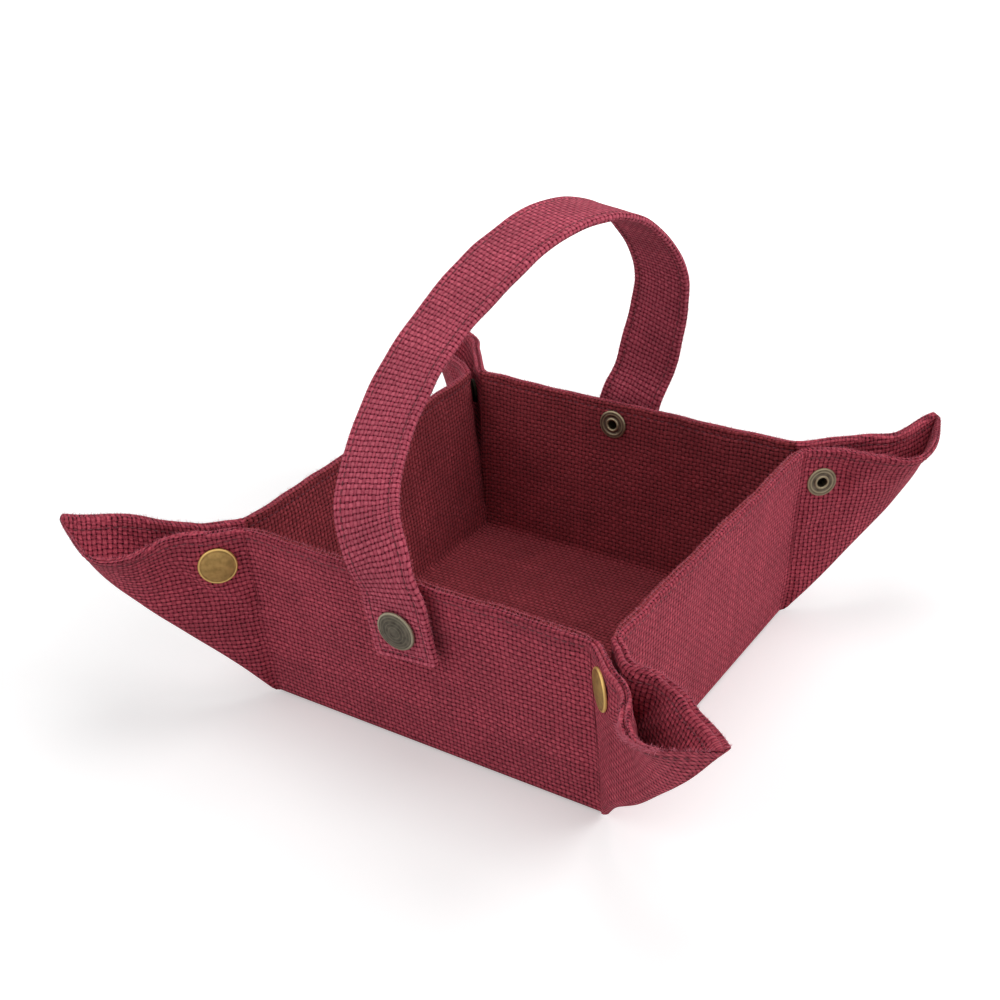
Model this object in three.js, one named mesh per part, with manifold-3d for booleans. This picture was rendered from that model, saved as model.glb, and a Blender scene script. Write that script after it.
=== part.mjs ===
// A square jute tray. One lined sheet folds up on four sides, and its corner squares fold outwards into
// ears that snap together. A strap handle snaps to the front and back walls.
// Millimetres, +Z up. The origin is the centre of the underside. The front wall is on -Y.
import * as THREE from "three";
import { mergeVertices } from "three/addons/utils/BufferGeometryUtils.js";
import Module from "manifold-3d";

const wasm = await Module();
wasm.setup();

// Tray
const base = 150;
const wallHeight = 77.8;
const lean = THREE.MathUtils.degToRad(4.5);
const gap = 0.3;

// Cloth and board, from the outside in
const outerCloth = 1.1;
const board = 1.2;
const liningCloth = 1.1;
// The board stops below the rim's stitches and short of every fold
const boardBelowRim = 4.5;
const boardFromFolds = 2;

// Corner ears: both cloths as one soft layer, pressed thinner along the fold and thinnest where it starts,
// the rounded tip, how far a mouth stands open and how far a tip curls
const earCloth = 2.4;
const foldCloth = 1.0;
const foldTaper = 25;
const earStart = 4;
const cornerRadius = 5;
const mouth = 6;
const curl = 7;
const earRows = 12;
const earColumns = 15;

// Snaps: the post sizes, the space that a closed snap keeps between the two cloths, and the four pieces
const snapStandoff = 3.4;
const postRadius = 2;
const earCapRadius = 7.5;
const handleCapRadius = 7.9;
const capHeight = 2.5;
const capRim = 0.8;
const socketRadius = 5.5;
const socketFloor = 0.4;
const studHeadRadius = 2.3;
const studFlange = 0.6;
const socketPlay = 0.4;
const ringRadius = 6.2;
const ringThickness = 0.9;
const ringBore = 2.1;
const ringTube = 0.5;
const roundSides = 16;
const capSides = 20;

// Corner snaps: down the crease from the rim and out from it
const frontRightSnap = { down: 10.2, out: 12 };
const backRightSnap = { down: 14.6, out: 9 };
const backLeftSnap = { down: 13.3, out: 11 };
const frontLeftSnap = { down: 12.6, out: 12 };

// Handle: strap section, the end below each snap and where each snap sits on its wall, along the wall and
// down from its rim
const strapWidth = 27.7;
const strapThickness = 3;
const tabBelow = 14.5;
const tabStep = 9;
const frontSnap = { side: -1.5, down: 17, tilt: THREE.MathUtils.degToRad(-6) };
const backSnap = { side: 6.1, down: 9.2, tilt: THREE.MathUtils.degToRad(-19) };

// The strap's way over the tray, front to back: share of the half width at the rim, height above the rim
// and sway to the right as shares of the arch's height, and the turn of its flat side in degrees
const archRise = 98.5;
const strapArch = [
  { share: -1.06, rise: 0.066, sway: -0.067, turn: 0 },
  { share: -0.94, rise: 0.264, sway: -0.183, turn: -6.4 },
  { share: -0.493, rise: 0.612, sway: -0.226, turn: -8.2 },
  { share: 0.07, rise: 0.934, sway: -0.086, turn: -2 },
  { share: 0.44, rise: 1, sway: 0.005, turn: 4.5 },
  { share: 0.78, rise: 0.909, sway: 0.071, turn: 9.1 },
  { share: 1.08, rise: 0.599, sway: 0.107, turn: 10.5 },
  { share: 1.122, rise: 0.152, sway: 0.015, turn: 4 },
];
const strapStepsPerKnot = 5;

const halfBase = base / 2;
const wallThickness = outerCloth + board + liningCloth + 2 * gap;
const rimHalf = halfBase + wallHeight * Math.sin(lean);
const rimZ = wallHeight * Math.cos(lean);

const jute = new THREE.MeshStandardMaterial({ color: 0x8e3348, roughness: 0.95, metalness: 0 });
const juteInside = new THREE.MeshStandardMaterial({ color: 0x7a2a3e, roughness: 0.95, metalness: 0 });
const greyBoard = new THREE.MeshStandardMaterial({ color: 0x8d877c, roughness: 0.9, metalness: 0 });
const agedBrass = new THREE.MeshStandardMaterial({ color: 0xa98540, roughness: 0.4, metalness: 1 });
const darkBronze = new THREE.MeshStandardMaterial({ color: 0x504b3c, roughness: 0.5, metalness: 1 });

const tray = new THREE.Group();

function named(name, geometry, material) {
  const mesh = new THREE.Mesh(geometry, material);
  mesh.name = name;
  return mesh;
}

function toSolid(geometry, matrix = new THREE.Matrix4()) {
  const plain = geometry.clone().applyMatrix4(matrix);
  plain.deleteAttribute("normal");
  plain.deleteAttribute("uv");
  const merged = mergeVertices(plain, 1e-4);
  const vertProperties = new Float32Array(merged.getAttribute("position").array);
  const triVerts = new Uint32Array(merged.getIndex().array);
  return new wasm.Manifold(new wasm.Mesh({ numProp: 3, vertProperties, triVerts }));
}

function toGeometry(solid) {
  const mesh = solid.getMesh();
  const geometry = new THREE.BufferGeometry();
  geometry.setAttribute("position", new THREE.BufferAttribute(mesh.vertProperties, 3));
  geometry.setIndex(new THREE.BufferAttribute(mesh.triVerts, 1));
  geometry.computeVertexNormals();
  return geometry;
}

function pierced(geometry, holes) {
  return toGeometry(holes.reduce((solid, hole) => solid.subtract(hole), toSolid(geometry)));
}

// A round hole through cloth, along the local Y of the snap that goes through it
function postHole(radius, matrix) {
  const depth = 30;
  return toSolid(new THREE.CylinderGeometry(radius, radius, depth, roundSides), matrix);
}

// A closed shell between two grids of points that have the same rows and columns
function shellBetween(outer, inner) {
  const rows = outer.length;
  const columns = outer[0].length;
  const points = [...outer.flat(), ...inner.flat()];
  const index = [];
  const at = (layer, row, column) => (layer * rows + row) * columns + column;
  const quad = (a, b, c, d) => index.push(a, b, c, a, c, d);
  for (let row = 0; row < rows - 1; row += 1) {
    for (let column = 0; column < columns - 1; column += 1) {
      const next = column + 1;
      quad(at(0, row, column), at(0, row, next), at(0, row + 1, next), at(0, row + 1, column));
      quad(at(1, row, column), at(1, row + 1, column), at(1, row + 1, next), at(1, row, next));
    }
    const last = columns - 1;
    quad(at(0, row, 0), at(0, row + 1, 0), at(1, row + 1, 0), at(1, row, 0));
    quad(at(0, row, last), at(1, row, last), at(1, row + 1, last), at(0, row + 1, last));
  }
  for (let column = 0; column < columns - 1; column += 1) {
    const next = column + 1;
    const end = rows - 1;
    quad(at(0, 0, column), at(1, 0, column), at(1, 0, next), at(0, 0, next));
    quad(at(0, end, column), at(0, end, next), at(1, end, next), at(1, end, column));
  }
  const geometry = new THREE.BufferGeometry();
  geometry.setAttribute("position", new THREE.Float32BufferAttribute(points.flatMap((p) => p.toArray()), 3));
  geometry.setIndex(index);
  geometry.computeVertexNormals();
  return geometry;
}

// The same geometry mirrored in the plane y = 0, with its faces still pointing out
function mirroredInY(geometry) {
  const mirrored = geometry.clone().scale(1, -1, 1);
  const order = mirrored.getIndex().array;
  for (let i = 0; i < order.length; i += 3) {
    [order[i], order[i + 1]] = [order[i + 1], order[i]];
  }
  mirrored.computeVertexNormals();
  return mirrored;
}

function turned(profile, sides) {
  return new THREE.LatheGeometry(profile.map(([radius, y]) => new THREE.Vector2(radius, y)), sides);
}

// Snap pieces. Local +Y points out through the cap, and y = 0 is midway between the two cloths.
const midway = snapStandoff / 2;
const socketTop = midway - gap;
const socketBottom = studFlange + socketPlay - socketTop;
const socketCeiling = socketTop - socketFloor;
const socketBore = studHeadRadius + socketPlay;

function snapCap(clothThickness, capRadius) {
  const seat = midway + clothThickness + gap;
  const top = seat + capHeight;
  return turned(
    [
      [0, socketCeiling],
      [postRadius, socketCeiling],
      [postRadius, seat],
      [capRadius, seat],
      [capRadius, seat + capRim],
      [capRadius * 0.86, seat + capHeight * 0.66],
      [capRadius * 0.5, seat + capHeight * 0.92],
      [0, top],
    ],
    capSides,
  );
}

function snapSocket() {
  return turned(
    [
      [postRadius + gap, socketCeiling],
      [socketBore, socketCeiling],
      [socketBore, socketBottom],
      [socketRadius - 1, socketBottom],
      [socketRadius, socketBottom + 0.6],
      [socketRadius, socketTop],
      [postRadius + gap, socketTop],
      [postRadius + gap, socketCeiling],
    ],
    roundSides,
  );
}

function snapStud() {
  const flangeTop = studFlange - socketTop;
  const headTop = socketCeiling - socketPlay;
  return turned(
    [
      [0, -socketTop],
      [socketRadius, -socketTop],
      [socketRadius, flangeTop],
      [studHeadRadius * 0.78, flangeTop],
      [studHeadRadius, (flangeTop + headTop) / 2],
      [studHeadRadius * 0.8, headTop],
      [0, headTop],
    ],
    roundSides,
  );
}

function snapEyelet(clothThickness) {
  const seat = -midway - clothThickness - gap;
  const tube = ringBore + ringTube;
  return turned(
    [
      [ringBore, seat - ringThickness * 0.6],
      [ringBore + ringTube, seat - ringThickness],
      [ringRadius - 1.2, seat - ringThickness],
      [ringRadius, seat - ringThickness * 0.4],
      [ringRadius, seat],
      [tube, seat],
      [tube, -midway],
      [ringBore, -midway],
      [ringBore, seat - ringThickness * 0.6],
    ],
    roundSides,
  );
}
const capHole = postRadius + gap;
const eyeletHole = ringBore + ringTube + gap;

// Walls: each cloth layer is a slab whose ends are mitred to the base, to its neighbours and to the ears
const foldSlope = 1 / Math.tan((Math.PI / 2 + lean) / 2);
// Directions in a corner's upright diagonal plane: a crease rises by creaseUp and goes out, and away from
// the plane, by creaseOut. An ear's flat sheet goes out by earOut and up by earUp, square to its crease
// and so turned that its diagonal fold lies in that plane.
const creaseOut = Math.sin(lean) / Math.SQRT2;
const creaseUp = Math.cos(lean);
const ease = (creaseOut / creaseUp) ** 2;
const earOut = (creaseOut * ease + Math.sqrt(creaseOut ** 2 * ease ** 2
  - (1 + ease) * (creaseOut ** 2 * (1 + ease) - 1))) / (1 + ease);
const earUp = (creaseOut ** 2 - earOut * creaseOut) / creaseUp;
const earTurn = Math.acos((earOut + creaseOut) / Math.SQRT2);
const creaseSlope = Math.tan(earTurn / 2);

function slab(bottom, top, depthNear, depthFar) {
  const corner = (end, side, depth) => (
    new THREE.Vector3(side * end.halfWidth(depth), depth, end.height(depth))
  );
  const face = (depth) => [bottom, top].map((end) => [-1, 1].map((side) => corner(end, side, depth)));
  return shellBetween(face(depthNear), face(depthFar));
}

function wallLayer({ near, far, fromFolds, belowRim }) {
  const bottom = {
    halfWidth: (depth) => halfBase - depth - fromFolds,
    height: (depth) => foldSlope * depth + fromFolds,
  };
  const top = {
    halfWidth: (depth) => halfBase - creaseSlope * depth - fromFolds,
    height: () => wallHeight - belowRim,
  };
  return slab(bottom, top, near, far);
}

function baseLayer({ near, far, fromFolds }) {
  const ring = (z) => halfBase - fromFolds - z * foldSlope;
  const row = (z, y) => [-1, 1].map((side) => new THREE.Vector3(side * ring(z), y * ring(z), z));
  return shellBetween([row(far, -1), row(far, 1)], [row(near, -1), row(near, 1)]);
}

// Each layer's near and far faces are depths from the outer face
const boardNear = outerCloth + gap;
const liningNear = wallThickness - liningCloth;
const clothEdges = { fromFolds: gap, belowRim: 0 };
const boardEdges = { fromFolds: boardFromFolds, belowRim: boardBelowRim };
const layers = [
  { name: "outer_cloth", near: 0, far: outerCloth, ...clothEdges, material: jute },
  { name: "board", near: boardNear, far: boardNear + board, ...boardEdges, material: greyBoard },
  { name: "lining", near: liningNear, far: wallThickness, ...clothEdges, material: juteInside },
];

for (const layer of layers) {
  tray.add(named(`base_${layer.name}`, baseLayer(layer), layer.material));
}

// A group whose local frame lies on a wall's outer face: X along the wall, Y inwards and Z up the wall
function wallFrame(turn) {
  const frame = new THREE.Group();
  frame.rotation.z = turn;
  const panel = new THREE.Group();
  panel.position.set(0, -halfBase, 0);
  panel.rotation.x = lean;
  frame.add(panel);
  frame.updateMatrixWorld(true);
  return { frame, panel };
}

// A handle snap's own frame on a wall: Y points out, y = 0 midway between the wall and the strap
function handleSnapFrame(snap) {
  const frame = new THREE.Group();
  frame.position.set(snap.side, -midway, wallHeight - snap.down);
  frame.rotation.x = Math.PI;
  return frame;
}

const walls = [
  { name: "front", turn: 0, snap: frontSnap },
  { name: "right", turn: Math.PI / 2 },
  { name: "back", turn: Math.PI, snap: backSnap },
  { name: "left", turn: -Math.PI / 2 },
];

for (const wall of walls) {
  const { frame, panel } = wallFrame(wall.turn);
  wall.panel = panel;
  const holes = [];
  if (wall.snap) {
    const snapFrame = handleSnapFrame(wall.snap);
    snapFrame.add(named(`handle_${wall.name}_snap_stud`, snapStud(), darkBronze));
    snapFrame.add(named(`handle_${wall.name}_snap_eyelet`, snapEyelet(wallThickness), darkBronze));
    panel.add(snapFrame);
    snapFrame.updateMatrix();
    holes.push(postHole(eyeletHole, snapFrame.matrix));
  }
  for (const layer of layers) {
    const geometry = pierced(wallLayer(layer), holes);
    panel.add(named(`${wall.name}_wall_${layer.name}`, geometry, layer.material));
  }
  tray.add(frame);
}

// Corner ears. A corner's local frame has X out along the diagonal, Z up, and y = 0 where the two halves
// meet. Each point of a half is named by its distances up the crease and out from it in the flat sheet.
function smooth(low, high, value) {
  return THREE.MathUtils.smoothstep(value, low, high);
}

// How far out a line from the base corner at this slope gets before it meets the rim or the rounded tip
function rimReach(slope) {
  const centre = wallHeight - cornerRadius;
  if (slope * wallHeight <= centre) {
    return wallHeight;
  }
  const a = 1 + slope * slope;
  const b = -2 * centre * (1 + slope);
  const constant = 2 * centre * centre - cornerRadius * cornerRadius;
  return (-b + Math.sqrt(b * b - 4 * a * constant)) / (2 * a);
}

// The half on the -y side. The curl leans both halves of an ear the same way, so its sign differs.
function halfEar(curlSide, snapUp, snapOut) {
  const discMargin = 1;
  const discEdge = (snapUp - snapOut - earCapRadius * Math.SQRT2 - discMargin) / wallHeight;
  const discEnd = snapOut + earCapRadius + discMargin;
  const outer = [];
  const inner = [];
  for (let row = 0; row <= earRows; row += 1) {
    const outerRow = [];
    const innerRow = [];
    for (let column = 0; column <= earColumns; column += 1) {
      const slope = column / earColumns;
      const up = earStart + (rimReach(slope) - earStart) * (row / earRows);
      const out = up * slope;
      const open = (up - out) / wallHeight;
      const thinnest = foldCloth * THREE.MathUtils.lerp(0.3, 1, Math.min(1, up / foldTaper));
      const thickness = THREE.MathUtils.lerp(thinnest, earCloth, smooth(0, discEdge * 0.7, open));
      const beyondSnap = Math.max(0, out - discEnd) / (wallHeight - discEnd);
      const toRim = (up - out) / Math.max(wallHeight - out, gap);
      const bulge = mouth * Math.sin(Math.PI * beyondSnap) * toRim ** 1.5;
      const sway = curlSide * curl * beyondSnap ** 2;
      const near = gap / 2 + (midway - gap / 2) * smooth(discEdge * 0.7, discEdge, open) + bulge;
      const atCrease = column === 0;
      // At the crease the outer face starts flush with the wall's
      const far = atCrease ? Math.max(creaseOut * up, near + gap) : near + thickness;
      const r = creaseOut * up + earOut * out + (atCrease ? gap : 0);
      const z = creaseUp * up + earUp * out;
      outerRow.push(new THREE.Vector3(r, sway - far, z));
      innerRow.push(new THREE.Vector3(r, sway - near, z));
    }
    outer.push(outerRow);
    inner.push(innerRow);
  }
  return shellBetween(outer, inner);
}

// Each corner: its place going round in quarter turns, the walls on its -y and +y sides, the side that the
// cap is on and the side that the ear's tip curls to
const corners = [
  { name: "front_right", quarter: 0, near: "front", far: "right", cap: -1, curls: 1, snap: frontRightSnap },
  { name: "back_right", quarter: 1, near: "right", far: "back", cap: 1, curls: 1, snap: backRightSnap },
  { name: "back_left", quarter: 2, near: "back", far: "left", cap: -1, curls: 1, snap: backLeftSnap },
  { name: "front_left", quarter: 3, near: "left", far: "front", cap: 1, curls: -1, snap: frontLeftSnap },
];

for (const corner of corners) {
  const frame = new THREE.Group();
  frame.rotation.z = (corner.quarter * Math.PI) / 2;
  const diagonal = new THREE.Group();
  diagonal.position.set(halfBase, -halfBase, 0);
  diagonal.rotation.z = -Math.PI / 4;
  frame.add(diagonal);

  const snapFrame = new THREE.Group();
  const { down, out } = corner.snap;
  const up = wallHeight - down;
  snapFrame.position.set(creaseOut * up + earOut * out, 0, creaseUp * up + earUp * out);
  snapFrame.rotation.x = corner.cap > 0 ? 0 : Math.PI;
  snapFrame.add(named(`${corner.name}_snap_cap`, snapCap(earCloth, earCapRadius), agedBrass));
  snapFrame.add(named(`${corner.name}_snap_socket`, snapSocket(), agedBrass));
  snapFrame.add(named(`${corner.name}_snap_stud`, snapStud(), agedBrass));
  snapFrame.add(named(`${corner.name}_snap_eyelet`, snapEyelet(earCloth), agedBrass));
  diagonal.add(snapFrame);
  snapFrame.updateMatrix();

  for (const side of [-1, 1]) {
    const half = halfEar(-side * corner.curls, up, out);
    const shell = side < 0 ? half : mirroredInY(half);
    const hole = postHole(side === corner.cap ? capHole : eyeletHole, snapFrame.matrix);
    const wallName = side < 0 ? corner.near : corner.far;
    diagonal.add(named(`${corner.name}_ear_${wallName}_half`, pierced(shell, [hole]), jute));
  }
  tray.add(frame);
}

// Handle: flat ends that lie along the walls' faces at the snaps, joined by the arch over the tray
function onWall(wall, side, out, up) {
  return new THREE.Vector3(side, -out, up).applyMatrix4(wall.panel.matrixWorld);
}

function tabPoints(wall) {
  const { side, down, tilt } = wall.snap;
  const up = wallHeight - down;
  const out = snapStandoff + strapThickness / 2;
  const along = [-tabBelow, tabStep - tabBelow, 2 * tabStep - tabBelow, 3 * tabStep - tabBelow];
  return along.map((s) => onWall(wall, side + s * Math.sin(tilt), out, up + s * Math.cos(tilt)));
}

const front = walls.find((wall) => wall.name === "front");
const back = walls.find((wall) => wall.name === "back");
const archPoints = strapArch.map(
  (knot) => new THREE.Vector3(knot.sway * archRise, knot.share * rimHalf, rimZ + knot.rise * archRise),
);
const strapRoute = [...tabPoints(front), ...archPoints, ...tabPoints(back).reverse()];
const tabTurns = tabPoints(front).map(() => 0);
const archTurns = strapArch.map((knot) => THREE.MathUtils.degToRad(knot.turn));
const strapTurns = [...tabTurns, ...archTurns, ...tabTurns];
const strapCurve = new THREE.CatmullRomCurve3(strapRoute, false, "centripetal");

function strapGeometry() {
  const steps = (strapRoute.length - 1) * strapStepsPerKnot;
  const outside = [];
  const inside = [];
  for (let i = 0; i <= steps; i += 1) {
    const t = i / steps;
    const centre = strapCurve.getPoint(t);
    const tangent = strapCurve.getTangent(t);
    const knot = Math.min(Math.floor(i / strapStepsPerKnot), strapRoute.length - 2);
    const turn = THREE.MathUtils.lerp(strapTurns[knot], strapTurns[knot + 1], i / strapStepsPerKnot - knot);
    const across = new THREE.Vector3(1, 0, 0).addScaledVector(tangent, -tangent.x).normalize();
    across.applyAxisAngle(tangent, turn);
    const outwards = new THREE.Vector3().crossVectors(across, tangent);
    const row = (depth) => [-1, 1].map((side) => centre.clone()
      .addScaledVector(across, (side * strapWidth) / 2)
      .addScaledVector(outwards, depth));
    outside.push(row(strapThickness / 2));
    inside.push(row(-strapThickness / 2));
  }
  return shellBetween(outside, inside);
}

const strapHoles = [front, back].map((wall) => {
  const snapFrame = handleSnapFrame(wall.snap);
  snapFrame.updateMatrix();
  return postHole(capHole, snapFrame.matrix.clone().premultiply(wall.panel.matrixWorld));
});
tray.add(named("handle_strap", pierced(strapGeometry(), strapHoles), jute));

for (const wall of [front, back]) {
  const snapFrame = handleSnapFrame(wall.snap);
  snapFrame.add(named(`handle_${wall.name}_snap_cap`, snapCap(strapThickness, handleCapRadius), darkBronze));
  snapFrame.add(named(`handle_${wall.name}_snap_socket`, snapSocket(), darkBronze));
  wall.panel.add(snapFrame);
}

export default tray;
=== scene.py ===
import math

import bpy
import numpy as np
from mathutils import Matrix, Vector


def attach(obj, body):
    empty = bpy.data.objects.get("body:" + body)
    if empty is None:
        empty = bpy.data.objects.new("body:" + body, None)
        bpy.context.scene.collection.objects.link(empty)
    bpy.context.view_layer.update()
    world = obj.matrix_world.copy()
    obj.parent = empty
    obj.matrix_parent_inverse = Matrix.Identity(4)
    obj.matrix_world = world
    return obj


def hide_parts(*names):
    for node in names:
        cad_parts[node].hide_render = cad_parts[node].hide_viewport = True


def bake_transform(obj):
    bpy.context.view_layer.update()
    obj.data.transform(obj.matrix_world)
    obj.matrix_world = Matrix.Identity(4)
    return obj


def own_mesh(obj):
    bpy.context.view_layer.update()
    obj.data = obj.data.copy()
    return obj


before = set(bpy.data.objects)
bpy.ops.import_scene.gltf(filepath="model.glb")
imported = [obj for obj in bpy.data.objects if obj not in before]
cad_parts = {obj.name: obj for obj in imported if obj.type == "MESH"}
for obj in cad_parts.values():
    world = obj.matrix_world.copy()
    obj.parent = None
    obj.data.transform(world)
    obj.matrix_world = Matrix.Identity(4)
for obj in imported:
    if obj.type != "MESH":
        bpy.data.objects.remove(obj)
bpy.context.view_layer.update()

# Camera: above the tray's front right, a short telephoto view with a slight roll. The camera, each lamp and
# each small copy is stood by its own three directions and its place.


def unit(vector):
    return vector / np.linalg.norm(vector, axis=-1, keepdims=True)


def stand(thing, x_way, y_way, z_way, at):
    placed = np.eye(4)
    placed[:3] = np.stack([x_way, y_way, z_way, at], axis=1)
    thing.matrix_world = Matrix(placed.tolist())


upwards = np.array([0.0, 0.0, 1.0])
yaw, pitch, roll = (math.radians(angle) for angle in (-34.60, 28.94, -3.03))
forward = np.array([math.sin(yaw) * math.cos(pitch), math.cos(yaw) * math.cos(pitch), -math.sin(pitch)])
level = np.array([math.cos(yaw), -math.sin(yaw), 0.0])
upright = np.cross(level, forward)
camera_right = math.cos(roll) * level + math.sin(roll) * upright
camera_up = -math.sin(roll) * level + math.cos(roll) * upright
bpy.ops.object.camera_add(location=(0.2868, -0.4363, 0.3600))
camera = bpy.context.object
camera.name = "view_of_the_tray"
stand(camera, camera_right, camera_up, -forward, camera.location)
camera.data.sensor_width = 36.0
camera.data.lens = 55.289
bpy.context.scene.camera = camera

# Studio: a white sweep of paper under wide soft lights from the upper right and from overhead, with a weaker
# fill from the front left. The paper takes the tray's soft shadow. To the camera it also has a white of its
# own that grows with distance, and polished metal sees the white surroundings.


def linear(sheet_colour):
    value = sheet_colour.lstrip("#")
    parts = [int(value[i : i + 2], 16) / 255 for i in (0, 2, 4)]
    return tuple(p / 12.92 if p <= 0.04045 else ((p + 0.055) / 1.055) ** 2.4 for p in parts) + (1.0,)


def add_node(tree, kind, inputs=None, **settings):
    made = tree.nodes.new(f"ShaderNode{kind}")
    for name, value in settings.items():
        setattr(made, name, value)
    for socket, value in (inputs or {}).items():
        if isinstance(value, bpy.types.Node):
            value = value.outputs[0]
        if isinstance(value, bpy.types.NodeSocket):
            tree.links.new(value, made.inputs[socket])
        else:
            made.inputs[socket].default_value = value
    return made


def new_material(name):
    material = bpy.data.materials.new(name)
    material.use_nodes = True
    material.node_tree.nodes.clear()
    return material, material.node_tree


scene = bpy.context.scene
scene.view_settings.view_transform = "Standard"
world = scene.world or bpy.data.worlds.new("studio")
scene.world = world
world.use_nodes = True
sky = world.node_tree
sky.nodes.clear()
ray = add_node(sky, "LightPath")
rays = {0: ray.outputs["Is Camera Ray"], 1: ray.outputs["Is Glossy Ray"]}
seen = add_node(sky, "Math", rays, operation="MAXIMUM")
strength = add_node(sky, "MapRange", {"Value": seen, "To Min": 0.36, "To Max": 1.0})
glow = add_node(sky, "Background", {"Color": (1.0, 1.0, 1.0, 1.0), "Strength": strength})
add_node(sky, "OutputWorld", {"Surface": glow})

bpy.ops.mesh.primitive_plane_add(size=8.0, location=(0.0, 0.0, -0.0003))
paper = bpy.context.object
paper.name = "paper_sweep"
white_paper, tree = new_material("white_matt_paper")
sheet_white = add_node(tree, "BsdfDiffuse", {"Color": linear("#F4F4F4")})
path = add_node(tree, "LightPath")
spot = add_node(tree, "TexCoord").outputs["Object"]
far_off = add_node(tree, "VectorMath", {0: spot}, operation="LENGTH").outputs["Value"]
inputs = {"Value": far_off, "From Min": 0.20, "From Max": 0.75, "To Min": 0.32, "To Max": 0.85}
whiter = add_node(tree, "MapRange", inputs)
share = add_node(tree, "Math", {0: path.outputs["Is Camera Ray"], 1: whiter}, operation="MULTIPLY")
own_white = add_node(tree, "Emission", {"Color": (1.0, 1.0, 1.0, 1.0), "Strength": share})
both = add_node(tree, "AddShader", {0: sheet_white, 1: own_white})
add_node(tree, "OutputMaterial", {"Surface": both})
paper.data.materials.append(white_paper)

lamp_size = 0.8
lit_point = np.array([0.0, 0.0, 0.06])
for name, place, power in (
    ("key_softbox", (1.00, 0.45, 0.85), 7.4),
    ("fill_softbox", (-0.60, -0.95, 0.80), 3.3),
    ("top_softbox", (0.00, 0.15, 1.40), 5.2),
):
    bpy.ops.object.light_add(type="AREA", location=place)
    lamp = bpy.context.object
    lamp.name = name
    lamp.data.size = lamp_size
    lamp.data.energy = power
    aim = unit(lit_point - np.array(place))
    side_on = unit(np.cross(aim, upwards))
    stand(lamp, side_on, np.cross(side_on, aim), -aim, place)

# Walls: each is the folded-up side of one sheet of outer cloth and one of lining, with a pressed card
# between them. Both cloths are plain woven hessian; their turned edges lie side by side along the rim and
# are sewn together there, so the rim is two soft ridges with a slight gap, over a line of stitches.
base_width = 150.0
half_base = base_width / 2
wall_height = 77.8
lean = math.radians(4.5)
wall_thickness = 4.0
cloth_thickness = 1.1
hem_thickness = 1.8
stitch_line = 3.4
fold_radius = 3.0
crease_softness = 4.0
fold_slope = 1 / math.tan((math.pi / 2 + lean) / 2)
# midway is how far each half of an ear stands from the plane between them at the snap, and other_weave is how
# far one cloth's weave is shifted, so that it doesn't repeat its neighbour's
ear_cloth = 2.4
ear_depth = 2.6
tip_radius = 2.5
midway = 1.7
ear_cap_radius = 7.5
ring_grip = 6.4
pressed_in = 0.12
stitch_lift = 0.12
post_hole = 2.15
ring_hole = 2.75
other_weave = 700.0

# A millimetre up the crease goes crease_out away from the tray and crease_up up. A millimetre out along the
# ear, square to the crease, goes ear_out and ear_up, and one along its diagonal tip_out and tip_up.
crease_out = math.sin(lean) / math.sqrt(2)
crease_up = math.cos(lean)
ease = (crease_out / crease_up) ** 2
under_root = crease_out**2 * ease**2 - (1 + ease) * (crease_out**2 * (1 + ease) - 1)
ear_out = (crease_out * ease + math.sqrt(under_root)) / (1 + ease)
ear_up = (crease_out**2 - ear_out * crease_out) / crease_up
tip_out = (crease_out + ear_out) / math.sqrt(2)
tip_up = (crease_up + ear_up) / math.sqrt(2)

# Each corner's ear as it was set down: the wall before and after it going round, the side that carries the
# cap, and how far down the crease and out from it its snap is. The rest are millimetres at even steps from
# the crease to the tip: how far the mouth stands open on either side, how far the ear sways and how it lifts.
corners = {
    "front_right": dict(
        turn=0, walls=("front", "right"), cap=-1, snap_down=10.2, snap_out=12.0, taper=1.67, draw=-0.9,
        open=((0, -0.5, 1.7, 10.3, 10.4, 0), (0, 4.4, 8.3, 10.4, 8.6, 0)),
        sway=(0, 0, 2.8, 4.9, 8.8, 16.3), lift=(0, 2.0, 1.6, 3.0, 5.4, 11.3),
    ),
    "back_right": dict(
        turn=90, walls=("right", "back"), cap=1, snap_down=14.6, snap_out=9.0, taper=1.37, draw=6.5,
        open=((0, 3.2, 12.7, 19.4, 10.3, 0), (0, -0.1, -0.1, 1.1, 4.8, 0)),
        sway=(0, 0, 1.5, 3.2, 7.2, 16.8), lift=(0, 0.5, 0.7, 1.3, 3.3, 7.9),
    ),
    "back_left": dict(
        turn=180, walls=("back", "left"), cap=-1, snap_down=13.3, snap_out=11.0, taper=1.4, draw=2.0,
        open=((0, 2, 5, 9, 7, 0), (0, 2, 4, 8, 7, 0)),
        sway=(0, 0, 1.5, 3, 6, 10), lift=(0, 0.5, 1, 2, 3.5, 6),
    ),
    "front_left": dict(
        turn=270, walls=("left", "front"), cap=1, snap_down=12.6, snap_out=12.0, taper=1.3, draw=-0.1,
        open=((0, -0.3, 4.8, 14.7, 13.7, 0), (0, -0.5, 3.0, 15.2, 14.8, 0)),
        sway=(0, 0, -2.3, -2.9, -4.1, -11.1), lift=(0, 2.8, 3.2, 4.7, 8.2, 16.4),
    ),
}
wall_turns = {"front": 0, "right": 90, "back": 180, "left": 270}


def spun(vector, degrees):
    turn = math.radians(degrees)
    x, y, z = vector
    return np.array([x * math.cos(turn) - y * math.sin(turn), x * math.sin(turn) + y * math.cos(turn), z])


def smooth(low, high, value):
    share = np.clip((value - low) / (high - low), 0.0, 1.0)
    return share * share * (3 - 2 * share)


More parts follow.
